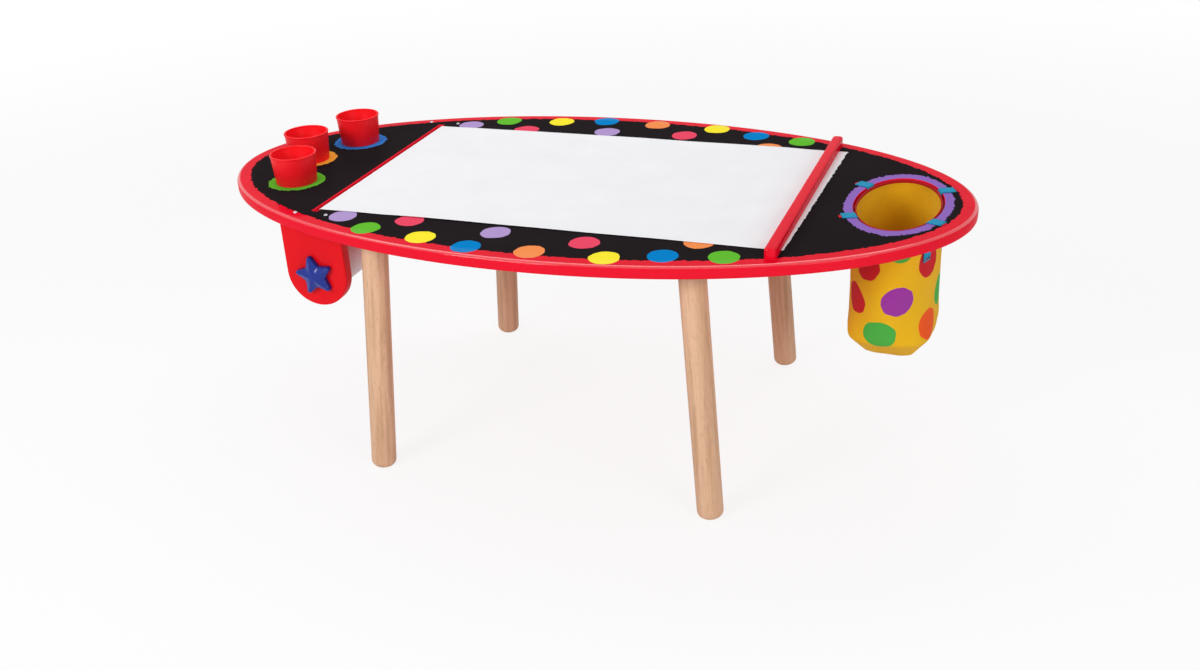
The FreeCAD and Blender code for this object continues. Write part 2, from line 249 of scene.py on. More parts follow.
BORDER_RED = rgb(232, 14, 42)
PAINT_RED = rgb(226, 16, 28)
PRINT_BLACK = rgb(32, 27, 29)
LAVENDER = rgb(178, 152, 206)
LEAF_GREEN = rgb(100, 188, 52)
ROSE = rgb(236, 76, 104)
LEMON = rgb(252, 234, 56)
SKY_BLUE = rgb(10, 130, 202)
APRICOT = rgb(246, 146, 84)
RING_PURPLE = rgb(146, 108, 190)
BAG_YELLOW = rgb(246, 190, 30)
DOT_PURPLE = rgb(160, 58, 162)
DOT_GREEN = rgb(78, 180, 72)
DOT_ORANGE = rgb(248, 92, 32)
DOT_RED = rgb(208, 32, 40)

# Dots on the front half of the board, as places in millimetres; the rear half mirrors them
DOT_RADIUS = 23.5 * MM
BOARD_DOTS = [
    (-323, -248, LAVENDER), (-260, -286, LEAF_GREEN), (-205, -241, ROSE), (-156, -301, LEMON),
    (-70, -320, SKY_BLUE), (-48, -257, LAVENDER), (33, -317, APRICOT), (101, -265, ROSE),
    (150, -313, LEMON), (231, -287, SKY_BLUE), (268, -226, APRICOT), (319, -271, LEAF_GREEN),
]
CUP_RING_RADIUS = 49 * MM
CUP_RINGS = {"cup_front": LEAF_GREEN, "cup_middle": rgb(246, 176, 64), "cup_rear": rgb(62, 132, 218)}
BAG_RING_HALF = (83.7 * MM, 137 * MM)
BORDER_WIDTH = 24 * MM
SLOT_BAND = 2.2 * MM

# How far the hand-cut edges of the print wander, and how soft they are
BORDER_CUT, BORDER_WAVE = 9 * MM, 4 * MM
DOT_CUT, DOT_WAVE = 1.6 * MM, 5 * MM
CUP_RING_CUT = 8 * MM
BAG_RING_CUT, BAG_RING_BLUR = 0.11, 0.004
SLOT_CUT = 1.5 * MM
INK_BLUR = 0.3 * MM

# Dots on the bag: bearing in degrees, level in millimetres, and colour
BAG_DOT_RADIUS = 26 * MM
BAG_DOT_WAVE = 4 * MM
BAG_DOTS = [
    (-73, 330, DOT_PURPLE), (-93, 266, DOT_GREEN), (-29, 274, DOT_ORANGE), (-117, 386, DOT_RED),
    (-72, 421, DOT_GREEN), (-32, 382, DOT_RED), (-133, 320, DOT_RED), (-3, 314, DOT_GREEN),
    (-152, 385, DOT_ORANGE), (-174, 265, DOT_PURPLE), (12, 392, DOT_PURPLE), (48, 345, DOT_ORANGE),
    (66, 272, DOT_RED), (74, 395, DOT_RED), (92, 330, DOT_GREEN), (116, 264, DOT_PURPLE),
    (122, 385, DOT_PURPLE), (146, 322, DOT_RED), (176, 335, DOT_GREEN),
]


# Finishes

def arithmetic(operation, swapped=False):
    """A method for an arithmetic sign."""
    def method(self, other):
        pair = (other, self) if swapped else (self, other)
        return self.math(operation, *pair)

    return method


class Value:
    """A number or vector that varies over a surface; arithmetic on it adds Math nodes to its finish."""

    def __init__(self, finish, socket):
        self.finish = finish
        self.socket = socket

    def math(self, operation, *values):
        return self.finish.node("ShaderNodeMath", {"operation": operation}, dict(enumerate(values)))

    __add__ = arithmetic("ADD")
    __radd__ = arithmetic("ADD", swapped=True)
    __sub__ = arithmetic("SUBTRACT")
    __rsub__ = arithmetic("SUBTRACT", swapped=True)
    __mul__ = arithmetic("MULTIPLY")
    __rmul__ = arithmetic("MULTIPLY", swapped=True)
    __truediv__ = arithmetic("DIVIDE")
    __pow__ = arithmetic("POWER")

    def __abs__(self):
        return self.math("ABSOLUTE", self)


class Nodes:
    """A tree of shader nodes."""

    def __init__(self, tree):
        self.nodes = tree.nodes
        self.links = tree.links

    def node(self, kind, settings, values, output=0):
        """Add a node: its settings come first, then the values or links of its sockets."""
        made = self.nodes.new(kind)
        for name, setting in settings.items():
            setattr(made, name, setting)
        self.feed(made, values)
        return Value(self, made.outputs[output])

    def feed(self, made, values):
        for socket, value in values.items():
            if isinstance(value, Value):
                self.links.new(value.socket, made.inputs[socket])
            else:
                made.inputs[socket].default_value = value

    def seen_rays(self):
        """1 for the rays that show a background, straight or in gloss and glass."""
        rays = self.node("ShaderNodeLightPath", {}, {}, "Is Camera Ray")
        for name in ("Is Glossy Ray", "Is Transmission Ray"):
            rays = rays.math("MAXIMUM", rays, Value(self, self.nodes["Light Path"].outputs[name]))
        return rays


class Finish(Nodes):
    """A material made of nodes, whose patterns follow the object's own coordinates."""

    def __init__(self, name):
        self.material = bpy.data.materials.new(name)
        self.material.use_nodes = True
        super().__init__(self.material.node_tree)
        self.shader = self.nodes["Principled BSDF"]
        self.place = self.node("ShaderNodeTexCoord", {}, {}, "Object")

    def surface(self, **sockets):
        """Set the shader's sockets, named with low lines for spaces."""
        self.feed(self.shader, {name.replace("_", " "): value for name, value in sockets.items()})
        return self.material

    def axes(self):
        split = self.node("ShaderNodeSeparateXYZ", {}, {0: self.place})
        return [Value(self, socket) for socket in split.socket.node.outputs]

    def vector(self, x, y, z):
        return self.node("ShaderNodeCombineXYZ", {}, {0: x, 1: y, 2: z})

    def stretched(self, *factors):
        return self.node("ShaderNodeVectorMath", {"operation": "MULTIPLY"}, {0: self.place, 1: factors})

    def distance(self, vector, point):
        return self.node("ShaderNodeVectorMath", {"operation": "DISTANCE"}, {0: vector, 1: point}, "Value")

    def cloud(self, scale, detail=2.0, roughness=0.5, at=None):
        """Smooth random values about a half."""
        values = {"Vector": at or self.place, "Scale": scale, "Detail": detail, "Roughness": roughness}
        return self.node("ShaderNodeTexNoise", {}, values)

    def cells(self, scale):
        return self.node("ShaderNodeTexVoronoi", {}, {"Vector": self.place, "Scale": scale})

    def step(self, value, low, high):
        """A mask that rises smoothly from 0 at low to 1 at high."""
        values = {"Value": value, "From Min": low, "From Max": high}
        return self.node("ShaderNodeMapRange", {"interpolation_type": "SMOOTHSTEP"}, values)

    def within(self, distance, radius, blur):
        """A mask of what is nearer than a radius, with a soft edge."""
        return self.step(distance, radius + blur, radius - blur)

    def weave(self, around, down, pitch):
        """The height of a plain weave of threads at a pitch."""
        rate = 2 * pi / pitch
        waves = [run.math("SINE", run) for run in (around * rate, down * rate)]
        return waves[0] * waves[1] * 0.5 + 0.5

    def mix(self, share, first, second):
        return self.node("ShaderNodeMix", {"data_type": "RGBA"}, {0: share, 6: first, 7: second}, 2)

    def bump(self, height, depth):
        return self.node("ShaderNodeBump", {}, {"Distance": depth, "Height": height})


def printed_top():
    """The board's print, charcoal with dots, rings and a hand-cut red border, and gloss red paint."""
    top = Finish("printed_top")
    x, y, z = top.axes()
    fine = top.cloud(150, 1) - 0.5
    broad = top.cloud(46, 1) - 0.5
    cut = fine * BORDER_CUT + broad * BORDER_WAVE
    reach = ((x / half_length) ** 2 + (y / half_width) ** 2) ** 0.5
    slope = ((x / half_length ** 2) ** 2 + (y / half_width ** 2) ** 2) ** 0.5
    inset = (1 - reach) * reach / slope
    mottle = top.cloud(9, 4, 0.6)
    specks = top.step(top.cloud(900, 2), 0.66, 0.74)
    charcoal = top.mix(mottle, shade(PRINT_BLACK, 0.8), shade(PRINT_BLACK, 1.25))
    charcoal = top.mix(specks * 0.25, charcoal, shade(PRINT_BLACK, 3))
    printed = top.step(inset + cut, BORDER_WIDTH - INK_BLUR, BORDER_WIDTH + INK_BLUR)
    paint = top.mix(top.cloud(14, 3), shade(BORDER_RED, 0.94), shade(BORDER_RED, 1.04))
    colour = top.mix(printed, paint, charcoal)
    away = (((x - bag_x) / BAG_RING_HALF[0]) ** 2 + (y / BAG_RING_HALF[1]) ** 2) ** 0.5
    colour = top.mix(top.within(away + fine * BAG_RING_CUT, 1, BAG_RING_BLUR), colour, RING_PURPLE)
    flat_place = top.vector(x, y, 0)
    for cup, ink in CUP_RINGS.items():
        away = top.distance(flat_place, (*middle_of(cup), 0)) + fine * CUP_RING_CUT
        colour = top.mix(top.within(away, CUP_RING_RADIUS, INK_BLUR), colour, ink)
    folded = top.vector(x, abs(y) * -1, 0)
    ragged = broad * DOT_WAVE + fine * DOT_CUT
    for dot_x, dot_y, ink in BOARD_DOTS:
        away = top.distance(folded, (dot_x * MM, dot_y * MM, 0)) + ragged
        colour = top.mix(top.within(away, DOT_RADIUS, INK_BLUR), colour, ink)
    past_side = abs(x - spindle_x) - slot_half_width
    past_end = abs(y) - slot_half_length
    from_slot = past_side.math("MAXIMUM", past_side, past_end) + fine * SLOT_CUT
    band = top.within(from_slot, SLOT_BAND, 0.2 * MM)
    colour = top.mix(band, colour, paint)
    face = top.step(z, top_z - 0.5 * MM, top_z - 0.1 * MM)
    matt = face * printed * (1 - band)
    rounded = top.step(z, top_z - 0.55 * rim_radius, top_z - 0.35 * rim_radius)
    rounded = rounded * top.step(inset, rim_radius, 0.85 * rim_radius)
    scuffs = top.cloud(4, 4, 0.7, top.stretched(30, 160, 30))
    orange_peel = top.cloud(420, 1)
    return top.surface(
        Base_Color=top.mix(face, paint, colour),
        Roughness=0.2 + matt * 0.3 + scuffs * 0.1,
        Coat_Weight=0.12 - matt * 0.1 - scuffs * 0.04 + rounded * 0.9,
        Coat_Roughness=0.06,
        Coat_IOR=1.8,
        Specular_IOR_Level=0.002,
        Normal=top.bump(orange_peel + scuffs * 0.5, 0.03 * MM),
    )


def red_gloss(name, colour):
    """Gloss paint on wood, with the slight ripple of a sprayed coat."""
    paint = Finish(name)
    ripple = paint.cloud(380, 1)
    patches = paint.cloud(22, 3)
    wear = paint.step(paint.cloud(70, 5, 0.7), 0.62, 0.8)
    return paint.surface(
        Base_Color=paint.mix(patches, shade(colour, 0.92), shade(colour, 1.05)),
        Roughness=0.2 + patches * 0.12 + wear * 0.12,
        Coat_Weight=0.2 - wear * 0.06,
        Coat_Roughness=0.06,
        Specular_IOR_Level=0.002,
        Normal=paint.bump(ripple, 0.02 * MM),
    )


def clear_wood(name, along):
    """Pale lacquered hardwood with its grain along one axis, given as 0, 1 or 2."""
    wood = Finish(name)
    factors = [1.0, 1.0, 1.0]
    factors[along] = 0.045
    drawn = wood.stretched(*factors)
    warp = wood.cloud(30, 3, 0.55, drawn)
    bands = wood.cloud(95, 4, 0.6, drawn)
    fibres = wood.cloud(900, 2, 0.6, drawn)
    pores = wood.step(wood.cloud(1500, 1, at=drawn), 0.64, 0.74)
    colour = wood.mix(wood.step(warp, 0.3, 0.7), rgb(226, 186, 152), rgb(208, 166, 132))
    colour = wood.mix(wood.step(bands, 0.42, 0.7) * 0.75, colour, rgb(186, 144, 110))
    colour = wood.mix(wood.step(fibres, 0.45, 0.8) * 0.35, colour, rgb(234, 200, 168))
    return wood.surface(
        Base_Color=wood.mix(pores * 0.6, colour, rgb(150, 108, 78)),
        Roughness=0.42 + bands * 0.16,
        Specular_IOR_Level=0.2,
        Normal=wood.bump(fibres * 0.6 + bands * 0.4 - pores * 0.5, 0.05 * MM),
    )


def zinc_steel():
    """Zinc-plated steel with faint spangle and rubbed streaks."""
    steel = Finish("zinc_steel")
    spangle = steel.cells(160)
    streaks = steel.cloud(3, 4, 0.7, steel.stretched(40, 400, 40))
    return steel.surface(
        Base_Color=steel.mix(spangle, rgb(158, 160, 166), rgb(190, 192, 196)),
        Metallic=1.0,
        Roughness=0.24 + streaks * 0.2,
        Normal=steel.bump(streaks, 0.02 * MM),
    )


def blue_plastic():
    """Glossy blue moulded plastic of the star knobs."""
    plastic = Finish("blue_plastic")
    flow = plastic.cloud(40, 3, 0.6)
    scratches = plastic.step(plastic.cloud(3, 3, at=plastic.stretched(60, 60, 900)), 0.6, 0.75)
    return plastic.surface(
        Base_Color=plastic.mix(flow, rgb(14, 36, 124), rgb(22, 50, 150)),
        Roughness=0.18 + flow * 0.08 + scratches * 0.1,
        Coat_Weight=0.5,
        Coat_Roughness=0.04,
        Specular_IOR_Level=0.05,
        Normal=plastic.bump(flow, 0.08 * MM),
    )


def red_plastic():
    """Satin red moulded plastic of the cups."""
    plastic = Finish("red_plastic")
    flow = plastic.cloud(45, 4, 0.6, plastic.stretched(1, 1, 0.35))
    skin = plastic.cloud(1400, 1)
    return plastic.surface(
        Base_Color=plastic.mix(flow, rgb(244, 22, 32), rgb(252, 28, 40)),
        Roughness=0.34 + flow * 0.12,
        Specular_IOR_Level=0.2,
        Normal=plastic.bump(skin * 0.5 + flow, 0.05 * MM),
    )


def white_paper():
    """Drawing paper with a faint tooth and fibres."""
    paper = Finish("white_paper")
    tooth = paper.cloud(1300, 3, 0.65)
    fibres = paper.step(paper.cloud(700, 3, at=paper.stretched(1, 0.25, 1)), 0.58, 0.75)
    colour = paper.mix(paper.cloud(16, 3), rgb(236, 236, 240), rgb(244, 244, 246))
    return paper.surface(
        Base_Color=paper.mix(fibres * 0.4, colour, rgb(224, 224, 228)),
        Roughness=0.78 + tooth * 0.15,
        Specular_IOR_Level=0.25,
        Normal=paper.bump(tooth, 0.06 * MM),
    )


def roll_paper():
    """The wound paper, with the edges of its layers on the ends."""
    paper = Finish("roll_paper")
    x, y, z = paper.axes()
    radius = ((x - spindle_x) ** 2 + (z - spindle_z) ** 2) ** 0.5
    layers = paper.cloud(2600, 2, 0.7, paper.vector(radius, 0, 0))
    on_end = paper.step(abs(y), paper_half - 1 * MM, paper_half - 0.5 * MM)
    tooth = paper.cloud(1100, 2)
    colour = paper.mix(tooth, rgb(230, 230, 234), rgb(240, 240, 243))
    return paper.surface(
        Base_Color=paper.mix(on_end * paper.step(layers, 0.4, 0.65) * 0.6, colour, rgb(190, 188, 190)),
        Roughness=0.8 + tooth * 0.12,
        Specular_IOR_Level=0.25,
        Normal=paper.bump(tooth * 0.3 + layers * on_end, 0.12 * MM),
    )


def grey_board():
    """The wound card of the core."""
    card = Finish("grey_board")
    plies = card.cloud(12, 3, 0.6, card.stretched(3, 60, 3))
    flecks = card.step(card.cloud(800, 2), 0.6, 0.72)
    colour = card.mix(plies, rgb(186, 158, 124), rgb(166, 136, 102))
    return card.surface(
        Base_Color=card.mix(flecks * 0.4, colour, rgb(210, 190, 160)),
        Roughness=0.8 + plies * 0.1,
        Specular_IOR_Level=0.2,
        Normal=card.bump(plies + flecks * 0.3, 0.1 * MM),
    )


def bag_cloth(name, colour, dots):
    """Woven nylon, with dots on its outer side."""
    cloth = Finish(name)
    x, y, down = cloth.axes()
    around = y.math("ARCTAN2", y, x - bag_x) * (bag_half_x + bag_half_y) / 2
    threads = cloth.weave(around, down, 1.1 * MM)
    slubs = cloth.cloud(6, 3, 0.6, cloth.vector(around * 14, 0, down * 120))
    soft = cloth.cloud(18, 4, 0.6)
    base = cloth.mix(soft, shade(colour, 0.9), shade(colour, 1.08))
    base = cloth.mix(slubs * 0.3, base, shade(colour, 0.8))
    ragged = (cloth.cloud(70, 1) - 0.5) * BAG_DOT_WAVE
    for centre, ink in dots:
        away = cloth.distance(cloth.place, centre) + ragged
        base = cloth.mix(cloth.within(away, BAG_DOT_RADIUS, 0.4 * MM), base, ink)
    return cloth.surface(
        Base_Color=cloth.mix(threads * 0.1, base, (0.02, 0.015, 0.01, 1)),
        Roughness=0.72 + slubs * 0.14,
        Specular_IOR_Level=0.08,
        Sheen_Weight=0.05,
        Sheen_Roughness=0.5,
        Normal=cloth.bump(threads + slubs * 0.6 + soft * 0.6, 0.18 * MM),
    )


def ribbed_tape(name, colour, pitch):
    """Woven tape or webbing with its ribs across."""
    tape = Finish(name)
    x, y, z = tape.axes()
    ribs = tape.weave(x + y, z + x - y, pitch)
    worn = tape.cloud(60, 4, 0.6)
    colour = tape.mix(worn, shade(colour, 0.86), shade(colour, 1.1))
    return tape.surface(
        Base_Color=tape.mix(ribs * 0.3, colour, shade(PRINT_BLACK, 0.8)),
        Roughness=0.66 + worn * 0.2,
        Specular_IOR_Level=0.05,
        Sheen_Weight=0.06,
        Sheen_Roughness=0.5,
        Normal=tape.bump(ribs + worn * 0.5, 0.25 * MM),
    )


def loop_pile(name, colour):
    """The fuzzy face of a loop fastener."""
    pile = Finish(name)
    loops = pile.cells(1100)
    fuzz = pile.cloud(500, 3, 0.7)
    return pile.surface(
        Base_Color=pile.mix(loops + fuzz * 0.3, shade(colour, 0.6), shade(colour, 1.3)),
        Roughness=0.85 + fuzz * 0.1,
        Specular_IOR_Level=0.2,
        Normal=pile.bump(loops + fuzz, 0.4 * MM),
    )


# Mesh tools

def add_object(name, data):
    made = bpy.data.objects.new(name, data)
    bpy.context.scene.collection.objects.link(made)
    return made


def new_piece(name, bm, slot, *finishes, body="table", stands_for=None, sharp=38, stand=None):
    """Turn a mesh into a named piece that rides on a body, in place of a CAD node or beside it."""
    bmesh.ops.recalc_face_normals(bm, faces=bm.faces)
    mesh = bpy.data.meshes.new(name)
    bm.to_mesh(mesh)
    bm.free()
    mesh.polygons.foreach_set("use_smooth", [True] * len(mesh.polygons))
    mesh.set_sharp_from_angle(angle=radians(sharp))
    for finish in finishes:
        mesh.materials.append(finish)
    piece = add_object(name, mesh)
    if stand:
        piece.matrix_world = stand
    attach(piece, body)
    if stands_for:
        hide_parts(stands_for)
    return piece


def thicken(piece, thickness, offset, inner_finish=0):
    """Give a surface its thickness."""
    wall = piece.modifiers.new("thickness", "SOLIDIFY")
    wall.thickness = thickness
    wall.offset = offset
    wall.material_offset = inner_finish


def portion(value, span):
    """How much of a span a value covers, from 0 to 1."""
    return min(1, max(0, value / span))


def spoke(turn):
    return Vector((cos(turn), sin(turn)))


def turns(count):
    return [2 * pi * i / count for i in range(count)]


def ring(bm, points):
    return [bm.verts.new(point) for point in points]


def join_rings(bm, rings, closed=True):
    """Faces between rings that have as many points; a ring of one point, repeated, closes a form."""
    for low, high in zip(rings, rings[1:]):
        for i in range(0 if closed else 1, len(low)):
            face = dict.fromkeys((low[i - 1], low[i], high[i], high[i - 1]))
            bm.faces.new(list(face))


def cap_ends(bm, rings):
    """Close both ends of joined rings."""
    for loop in (rings[0], rings[-1]):
        bm.faces.new(loop)


def ring_edges(rings):
    """The edges of closed rings that are already joined."""
    edges = []
    for points in rings:
        for first, second in zip(points, points[1:] + points[:1]):
            edges.append(next(edge for edge in first.link_edges if edge.other_vert(first) == second))
    return edges


def quarter_round(radius, level, way, steps=6):
    """Insets and levels from a flat face round to a side; way is 1 for an upper edge, -1 for a lower one."""
    pairs = []
    for k in range(steps + 1):
        turn = pi / 2 * k / steps
        pairs.append((radius * (1 - sin(turn)), level - way * radius * (1 - cos(turn))))
    return pairs


def round_foot(outer, radius, level, steps):
    """Radii and levels of a turned foot, from its sole round to its side."""
    return [(outer - inset, height) for inset, height in quarter_round(radius, level, -1, steps)]


def oval(x, y, half_x, half_y, count):
    """Points and outward directions round an ellipse."""
    outline = []
    for turn in turns(count):
        point = Vector((x + half_x * cos(turn), y + half_y * sin(turn)))
        outline.append((point, Vector((cos(turn) / half_x, sin(turn) / half_y)).normalized()))
    return outline


def round_ended(x, half_x, half_y, radius, arc_parts=10):
    """Points and outward directions round a rectangle about x with rounded corners."""
    outline = []
    for side_x, side_y, start in ((1, 1, 0), (-1, 1, 90), (-1, -1, 180), (1, -1, 270)):
        centre = Vector((x + side_x * (half_x - radius), side_y * (half_y - radius)))
        for i in range(arc_parts + 1):
            away = spoke(radians(start + 90 * i / arc_parts))
            outline.append((centre + away * radius, away))
    return outline


def upright(point, level):
    return Vector((point.x, point.y, level))


def rings_of(bm, outline, profile, place=upright):
    """Rings of an outline at the insets and levels of a profile."""
    rings = []
    for inset, level in profile:
        rings.append(ring(bm, [place(point - away * inset, level) for point, away in outline]))
    join_rings(bm, rings)
    return rings


def lathe(bm, profile, count, place):
    """A turned form from pairs of a radius and a level; a radius of 0 closes it."""
    rings = []
    for radius, level in profile:
        if radius > 0:
            spots = [place(radius * cos(turn), radius * sin(turn), level) for turn in turns(count)]
            rings.append(ring(bm, spots))
        else:
            rings.append(ring(bm, [place(0, 0, level)]) * count)
    join_rings(bm, rings)


def rounded_path(points, radii, arc_steps=6):
    """Points along straight runs whose corners are rounded."""
    path = [points[0]]
    for before, corner, after, radius in zip(points, points[1:], points[2:], radii):
        arriving = (corner - before).normalized()
        leaving = (after - corner).normalized()
        turn = arriving.angle(leaving)
        reach = radius * tan(turn / 2)
        centre = corner + (leaving - arriving).normalized() * (radius / cos(turn / 2))
        start = corner - arriving * reach - centre
        end = corner + leaving * reach - centre
        for k in range(arc_steps + 1):
            share = k / arc_steps
            arm = start * sin(turn * (1 - share)) + end * sin(turn * share)
            path.append(centre + arm / sin(turn))
    return path + [points[-1]]


def divided(path, longest):
    """A path with its long runs divided."""
    fine = [path[0]]
    for start, end in zip(path, path[1:]):
        parts = max(1, ceil((end - start).length / longest))
        fine += [start.lerp(end, (k + 1) / parts) for k in range(parts)]
    return fine


def about_spindle(node, way):
    """A way to place points about the spindle, at levels out from a node's inner face, and its depth."""
    low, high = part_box(node)
    inner_y = low.y if way > 0 else high.y

    def place(point, level):
        return Vector((spindle_x + point.x, inner_y + way * level, spindle_z + point.y))

    return place, high.y - low.y


def screw_heads(name, places, finish):
    """Round screw heads with a cross recess, at places each with the way that its head faces."""
    bm = bmesh.new()
    for centre, facing in places:
        turned = facing.to_track_quat("Z", "Y")
        rings = []
        for share, rise in SCREW_HEAD:
            points = []
            for i, turn in enumerate(turns(screw_sides)):
                in_slot = i % 4 == 0 and 0.3 < share < 0.7
                spot = upright(spoke(turn) * share, screw_recess if in_slot else rise)
                points.append(centre + turned @ spot * screw_radius)
            rings.append(ring(bm, points))
        join_rings(bm, rings)
        cap_ends(bm, rings)
    new_piece(name, bm, "steel", finish)


def stitch(bm, middle, run, length, radius):
    """One short stitch of thread, thicker in its middle."""
    turned = run.to_track_quat("Z", "Y")
    rings = []
    for share, size in THREAD_FORM:
        around = [upright(spoke(turn) * size * radius, share * length) for turn in turns(thread_sides)]
        rings.append(ring(bm, [middle + turned @ spot for spot in around]))
    join_rings(bm, rings)
    cap_ends(bm, rings)


# Pieces

def make_board(finish):
    """The oval board with its slot, cup holes and bag hole."""
    bm = bmesh.new()
    rim = oval(0, 0, half_length, half_width, rim_points)
    profile = [(rim_radius + flat_band, top_z)] + quarter_round(rim_radius, top_z, 1, 8)
    profile += quarter_round(under_radius, under_z, -1, 5)[::-1] + [(under_radius + flat_band, under_z)]
    rings = [rings_of(bm, rim, profile)]
    bag_hole = oval(bag_x, 0, bag_half_x + bag_gap, bag_half_y + bag_gap, bag_hole_points)
    slot = round_ended(spindle_x, slot_half_width, slot_half_length, slot_end_radius)
    holes = [(bag_hole, bag_hole_edge), (slot, slot_edge)]
    radius = cup_spigot_radius + cup_hole_fit
    for cup in cup_names:
        holes.append((oval(*middle_of(cup), radius, radius, cup_hole_points), cup_hole_edge))
    for outline, edge in holes:
        profile = [(-edge - hole_band, top_z)]
        profile += [(-inset, level) for inset, level in quarter_round(edge, top_z, 1, 4)]
        profile += [(0, under_z), (-hole_band, under_z)]
        rings.append(rings_of(bm, outline, profile))
    for end in (0, -1):
        bmesh.ops.triangle_fill(bm, use_beauty=True, edges=ring_edges([loops[end] for loops in rings]))
    new_piece("oval_board", bm, "printed_board", finish, stands_for="tabletop", sharp=30)


def make_legs(finish):
    """Four splayed dowels with rounded feet, cut flat where they stand."""
    feet = {mount["name"]: Vector(mount["pos_m"]) for mount in frame["record"]["mounts"]}
    for corner in CORNERS:
        foot = feet["foot_" + corner]
        head = Vector((*middle_of("leg_plate_" + corner), under_z))
        along = (head - foot).normalized()
        length = (head - foot).length - boss_height
        splay = hypot(head.x - foot.x, head.y - foot.y)
        dip = (leg_radius - foot_rounding) * splay / head.z
        profile = [(0, -dip)] + round_foot(leg_radius, foot_rounding, -dip, 8)
        profile += [(leg_radius, length * k / leg_parts) for k in range(1, leg_parts)]
        profile += [(leg_radius, length - leg_head_edge), (leg_radius - leg_head_edge, length), (0, length)]
        bm = bmesh.new()
        lathe(bm, profile, leg_sides, lambda x, y, level: Vector((x, y, level)))
        stand = Matrix.Translation(foot) @ along.to_track_quat("Z", "Y").to_matrix().to_4x4()
        for vertex in bm.verts:
            below = (stand @ vertex.co).z
            if below < 0:
                vertex.co.z -= below / along.z
        node = "leg_" + corner
        new_piece("dowel_" + node, bm, "natural_wood", finish, stands_for=node, stand=stand)


def make_brackets(finish):
    """The two hanging boards with round lower ends."""
    for side, way in SIDES:
        node = "roll_bracket_" + side
        place, depth = about_spindle(node, way)
        low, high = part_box(node)
        half = (high.x - low.x) / 2
        rise = under_z - spindle_z
        outline = [(Vector((half, rise)), Vector((1, 0)))]
        for i in range(bracket_arc_parts + 1):
            away = spoke(-pi * i / bracket_arc_parts)
            outline.append((away * half, away))
        outline.append((Vector((-half, rise)), Vector((-1, 0))))
        profile = quarter_round(bracket_edge, depth, 1) + quarter_round(bracket_edge, 0, -1)[::-1]
        bm = bmesh.new()
        cap_ends(bm, rings_of(bm, outline, profile, place))
        new_piece("hanging_bracket_" + side, bm, "red_paint", finish, stands_for=node)


def star_outline():
    """Points and outward directions round the star, with rounded tips and softened notches."""
    fifth = 2 * pi / star_points
    notch_x = star_notch_radius * cos(fifth / 2)
    notch_y = star_notch_radius * sin(fifth / 2)
    tip_half = atan2(notch_y, star_point_radius - notch_x)
    tip_centre = star_point_radius - star_tip_radius / sin(tip_half)
    points = []
    for i in range(star_points):
        turn = pi / 2 + star_turn + fifth * i
        for k in range(star_tip_parts + 1):
            facing = turn + (2 * k / star_tip_parts - 1) * (pi / 2 - tip_half)
            points.append(spoke(turn) * tip_centre + spoke(facing) * star_tip_radius)
        points.append(spoke(turn + fifth / 2) * star_notch_radius)
    points = divided(points + points[:1], star_run)[:-1]
    count = len(points)
    for _ in range(2):
        points = [(points[i - 1] + points[i] * 2 + points[(i + 1) % count]) / 4 for i in range(count)]
    outline = []
    for i in range(count):
        run = points[(i + 1) % count] - points[i - 1]
        outline.append((points[i], Vector((run.y, -run.x)).normalized()))
    return outline


def make_star_knobs(finish):
    """Thick plastic stars on the ends of the spindle, with a soft bevel round a slightly domed face."""
    outline = star_outline()
    inner = [point - away * star_bevel for point, away in outline]
    for side, way in SIDES:
        node = "star_knob_" + side
        place, depth = about_spindle(node, way)
        face_level = depth - star_dome
        eased = 0.3 * star_back_edge
        profile = [(star_back_edge, 0), (eased, eased), (0, star_back_edge)]
        profile += quarter_round(star_bevel, face_level, 1)[::-1]
        bm = bmesh.new()
        loops = rings_of(bm, outline, profile, place)
        bm.faces.new(loops[0])
        domes = [loops[-1]]
        for share in DOME_SHARES:
            level = face_level + star_dome * (1 - share ** 2)
            domes.append(ring(bm, [place(point * share, level) for point in inner]))
        domes.append(ring(bm, [place(Vector((0, 0)), depth)]) * len(inner))
        join_rings(bm, domes)
        name = "puffed_star_" + side
        new_piece(name, bm, "blue_plastic", finish, body="spindle", stands_for=node, sharp=60)


def make_cups(finish):
    """Tapered cups that stand in their holes on a shoulder, with a thin rolled lip."""
    for cup in cup_names:
        low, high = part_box(cup)
        centre = Vector(middle_of(cup))
        floor, rim = low.z, high.z
        lip_radius = (high.x - low.x) / 2 - cup_lip_half
        lip_low = rim - 2.1 * cup_lip_half
        seat_z = top_z + cup_seat_gap
        profile = [(0, floor + cup_hollow), (cup_foot_radius - cup_foot_band, floor + 0.8 * cup_hollow)]
        profile += round_foot(cup_foot_radius, cup_foot_rounding, floor, 4)
        profile += [
            (cup_spigot_radius, top_z - 2 * cup_seat_gap),
            (cup_spigot_radius + 3 * cup_seat_gap, seat_z),
            (cup_seat_radius - 4 * cup_seat_gap, seat_z),
            (cup_seat_radius, top_z + 7 * cup_seat_gap),
            (lip_radius + 0.2 * cup_lip_half, lip_low),
        ]
        for k in range(cup_lip_parts + 1):
            turn = radians(300 * k / cup_lip_parts - 60)
            lip_z = rim - cup_lip_half + cup_lip_half * sin(turn)
            profile.append((lip_radius + cup_lip_half * cos(turn), lip_z))
        profile += [
            (lip_radius - 0.9 * cup_lip_half, lip_low),
            (cup_seat_radius - cup_wall, top_z + cup_wall / 2),
            (cup_spigot_radius - cup_wall, top_z - cup_wall),
        ]
        profile += round_foot(cup_foot_radius - cup_wall, cup_foot_rounding, floor + cup_wall, 4)[::-1]
        profile.append((0, floor + cup_wall))
        bm = bmesh.new()
        lathe(bm, profile, cup_sides, lambda x, y, level: Vector((centre.x + x, centre.y + y, level)))
        new_piece("pencil_" + cup, bm, "red_plastic", finish, body=cup, stands_for=cup)


